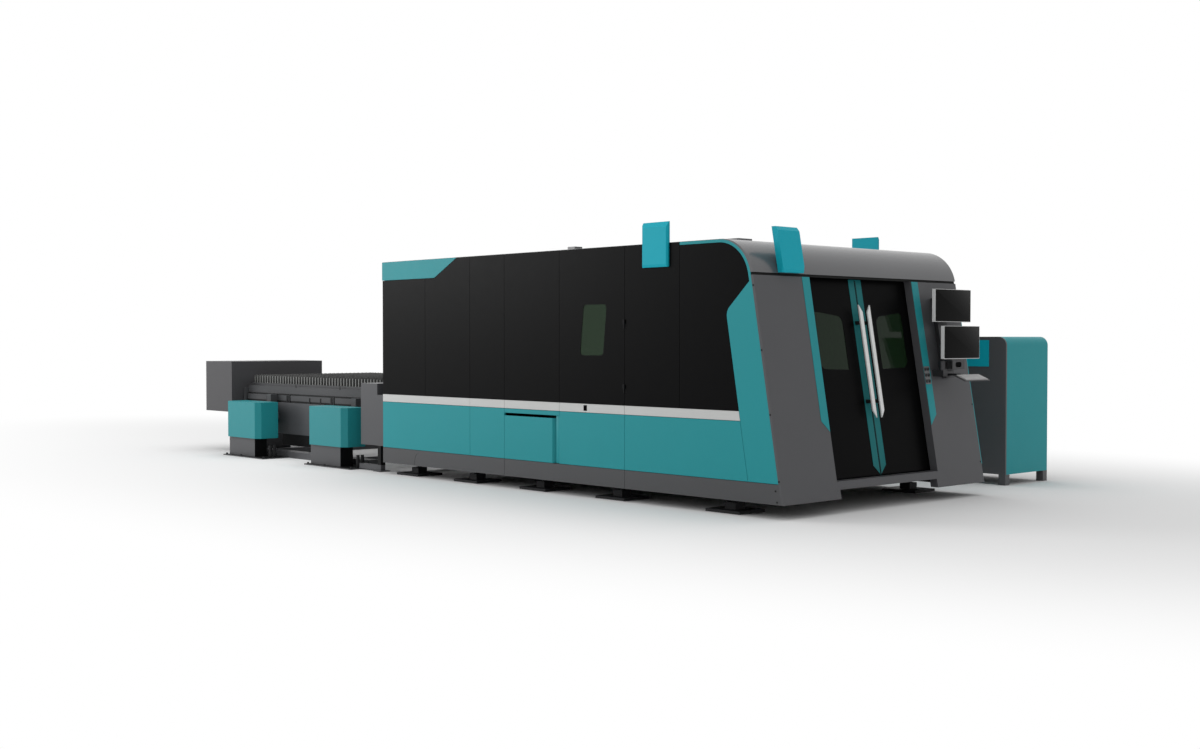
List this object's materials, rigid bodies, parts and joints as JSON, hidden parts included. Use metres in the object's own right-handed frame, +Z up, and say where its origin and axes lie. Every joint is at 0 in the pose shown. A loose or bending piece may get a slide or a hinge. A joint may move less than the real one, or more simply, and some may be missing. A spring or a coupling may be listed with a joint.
{
  "type": "fiber laser cutting machine",
  "caption": "Enclosed sheet-cutting machine with a leaning double-door front, gantry and cutting head, lifting exchange table, console and separate source cabinet.",
  "frame": {"origin": "on the floor, under the middle of the whole set", "axes": "+X towards the door end of the enclosure, +Y towards the source cabinet, +Z up"},
  "size_m": [10.7292, 4.78, 2.56],
  "materials": {
    "black_paint": "satin black powder coat",
    "grey_paint": "satin mid-grey powder coat",
    "door_paint": "gloss black coat",
    "light_paint": "light silver-grey paint",
    "teal_paint": "satin teal powder coat",
    "frame_paint": "dark grey paint",
    "dark_metal": "dark coated steel",
    "bare_steel": "bare machined steel",
    "aluminium_beam": "satin anodised aluminium",
    "head_metal": "anodised aluminium",
    "tinted_window": "green-tinted laser safety window",
    "dark_plastic": "matte dark plastic",
    "button_plastic": "glossy push button"
  },
  "bodies": {
    "machine": {"side_upper_panels": "black_paint", "side_trims": "teal_paint", "side_stripes": "light_paint", "side_lower_panels": "teal_paint", "rear_wall": "grey_paint", "roof_panel": "grey_paint", "front_hood": "grey_paint", "front_surround": "grey_paint", "base_skirts": "grey_paint", "base_frame": "frame_paint", "levelling_feet": "dark_metal", "enclosure_frame": "frame_paint", "gantry_rails": "bare_steel", "blank_signs": "teal_paint", "console_bracket": "dark_metal", "table_bases": "grey_paint", "column_covers": "teal_paint", "table_frame": "grey_paint", "end_cabinet": "grey_paint", "cabinet_case": "black_paint", "cabinet_shell": "teal_paint"},
    "service_door": {"service_door_upper": "black_paint", "service_door_stripe": "light_paint", "service_door_lower": "teal_paint", "service_door_frame": "frame_paint", "service_door_window": "tinted_window", "service_door_pull": "dark_plastic"},
    "near_door": {"near_door_panel": "door_paint", "near_door_handle": "light_paint", "near_door_edge": "teal_paint", "near_door_window": "tinted_window"},
    "far_door": {"far_door_panel": "door_paint", "far_door_handle": "light_paint", "far_door_edge": "teal_paint", "far_door_window": "tinted_window"},
    "gantry": {"gantry_beam": "aluminium_beam"},
    "carriage": {"y_carriage": "aluminium_beam"},
    "head": {"cutting_head": "head_metal"},
    "drawer": {"drawer_tray": "frame_paint", "drawer_front": "teal_paint"},
    "console": {"console_post": "dark_metal"},
    "upper_screen": {"upper_monitor": "dark_plastic"},
    "lower_screen": {"lower_monitor": "dark_plastic"},
    "tray": {"keyboard_tray": "dark_metal", "keyboard": "dark_plastic"},
    "lift": {"lift_frame": "frame_paint"},
    "outer_pallet": {"outer_pallet_frame": "frame_paint", "outer_pallet_slats": "bare_steel"},
    "inner_pallet": {"inner_pallet_frame": "frame_paint", "inner_pallet_slats": "bare_steel"},
    "push_1": {"button_1": "button_plastic"},
    "push_2": {"button_2": "button_plastic"},
    "push_3": {"button_3": "button_plastic"},
    "push_4": {"button_4": "button_plastic"},
    "push_5": {"button_5": "button_plastic"},
    "push_6": {"button_6": "button_plastic"},
    "outer_wheels_1": {"outer_wheelset_1": "bare_steel"},
    "inner_wheels_1": {"inner_wheelset_1": "bare_steel"},
    "outer_wheels_2": {"outer_wheelset_2": "bare_steel"},
    "inner_wheels_2": {"inner_wheelset_2": "bare_steel"}
  },
  "joints": [
    {"name": "service_door_hinge", "type": "hinge", "parent": "machine", "child": "service_door", "pos_m": [3.2994, -2.357, 1.35], "axis": [0, 0, 1], "range_deg": [0, 95]},
    {"name": "near_door_slide", "type": "slide", "parent": "machine", "child": "near_door", "axis": [0, -1, 0], "range_m": [0, 0.62]},
    {"name": "far_door_slide", "type": "slide", "parent": "machine", "child": "far_door", "axis": [0, 1, 0], "range_m": [0, 0.62]},
    {"name": "gantry_travel", "type": "slide", "parent": "machine", "child": "gantry", "axis": [1, 0, 0], "range_m": [0, 3.3]},
    {"name": "carriage_travel", "type": "slide", "parent": "gantry", "child": "carriage", "axis": [0, 1, 0], "range_m": [0, 1.5]},
    {"name": "head_travel", "type": "slide", "parent": "carriage", "child": "head", "axis": [0, 0, 1], "range_m": [-0.325, 0]},
    {"name": "drawer_slide", "type": "slide", "parent": "machine", "child": "drawer", "axis": [0, -1, 0], "range_m": [0, 0.85]},
    {"name": "button_1_press", "type": "slide", "parent": "machine", "child": "push_1", "axis": [-0.9848, 0, -0.1736], "range_m": [0, 0.004], "stiffness_N_per_m": 300, "springref_m": -0.002},
    {"name": "button_2_press", "type": "slide", "parent": "machine", "child": "push_2", "axis": [-0.9848, 0, -0.1736], "range_m": [0, 0.004], "stiffness_N_per_m": 300, "springref_m": -0.002},
    {"name": "button_3_press", "type": "slide", "parent": "machine", "child": "push_3", "axis": [-0.9848, 0, -0.1736], "range_m": [0, 0.004], "stiffness_N_per_m": 300, "springref_m": -0.002},
    {"name": "button_4_press", "type": "slide", "parent": "machine", "child": "push_4", "axis": [-0.9848, 0, -0.1736], "range_m": [0, 0.004], "stiffness_N_per_m": 300, "springref_m": -0.002},
    {"name": "button_5_press", "type": "slide", "parent": "machine", "child": "push_5", "axis": [-0.9848, 0, -0.1736], "range_m": [0, 0.004], "stiffness_N_per_m": 300, "springref_m": -0.002},
    {"name": "button_6_press", "type": "slide", "parent": "machine", "child": "push_6", "axis": [-0.9848, 0, -0.1736], "range_m": [0, 0.004], "stiffness_N_per_m": 300, "springref_m": -0.002},
    {"name": "console_swivel", "type": "hinge", "parent": "machine", "child": "console", "pos_m": [5.1044, 0.08, 1.2575], "axis": [0, 0, 1], "range_deg": [-50, 0]},
    {"name": "upper_screen_tilt", "type": "hinge", "parent": "console", "child": "upper_screen", "pos_m": [5.0394, 0.255, 1.827], "axis": [0, 1, 0], "range_deg": [-15, 15]},
    {"name": "lower_screen_tilt", "type": "hinge", "parent": "console", "child": "lower_screen", "pos_m": [5.1394, 0.255, 1.478], "axis": [0, 1, 0], "range_deg": [-15, 15]},
    {"name": "keyboard_tray_fold", "type": "hinge", "parent": "console", "child": "tray", "pos_m": [5.2244, 0.255, 1.172], "axis": [0, -1, 0], "range_deg": [0, 70]},
    {"name": "table_lift", "type": "slide", "parent": "machine", "child": "lift", "axis": [0, 0, 1], "range_m": [-0.325, 0]},
    {"name": "outer_pallet_travel", "type": "slide", "parent": "lift", "child": "outer_pallet", "axis": [1, 0, 0], "range_m": [0, 4.69]},
    {"name": "inner_pallet_travel", "type": "slide", "parent": "machine", "child": "inner_pallet", "axis": [-1, 0, 0], "range_m": [0, 4.69]},
    {"name": "outer_wheel_spin_1", "type": "hinge", "parent": "outer_pallet", "child": "outer_wheels_1", "pos_m": [-4.0856, -0.85, 0.845], "axis": [0, 1, 0], "range_deg": [0, 5500]},
    {"name": "inner_wheel_spin_1", "type": "hinge", "parent": "inner_pallet", "child": "inner_wheels_1", "pos_m": [0.6044, -0.85, 0.52], "axis": [0, 1, 0], "range_deg": [-5500, 0]},
    {"name": "outer_wheel_spin_2", "type": "hinge", "parent": "outer_pallet", "child": "outer_wheels_2", "pos_m": [-1.6556, -0.85, 0.845], "axis": [0, 1, 0], "range_deg": [0, 5500]},
    {"name": "inner_wheel_spin_2", "type": "hinge", "parent": "inner_pallet", "child": "inner_wheels_2", "pos_m": [3.0344, -0.85, 0.52], "axis": [0, 1, 0], "range_deg": [-5500, 0]}
  ],
  "couplings": [
    {"joint": "outer_wheel_spin_1", "follows": "outer_pallet_travel", "rad_per_m": 20},
    {"joint": "inner_wheel_spin_1", "follows": "inner_pallet_travel", "rad_per_m": -20},
    {"joint": "outer_wheel_spin_2", "follows": "outer_pallet_travel", "rad_per_m": 20},
    {"joint": "inner_wheel_spin_2", "follows": "inner_pallet_travel", "rad_per_m": -20}
  ]
}
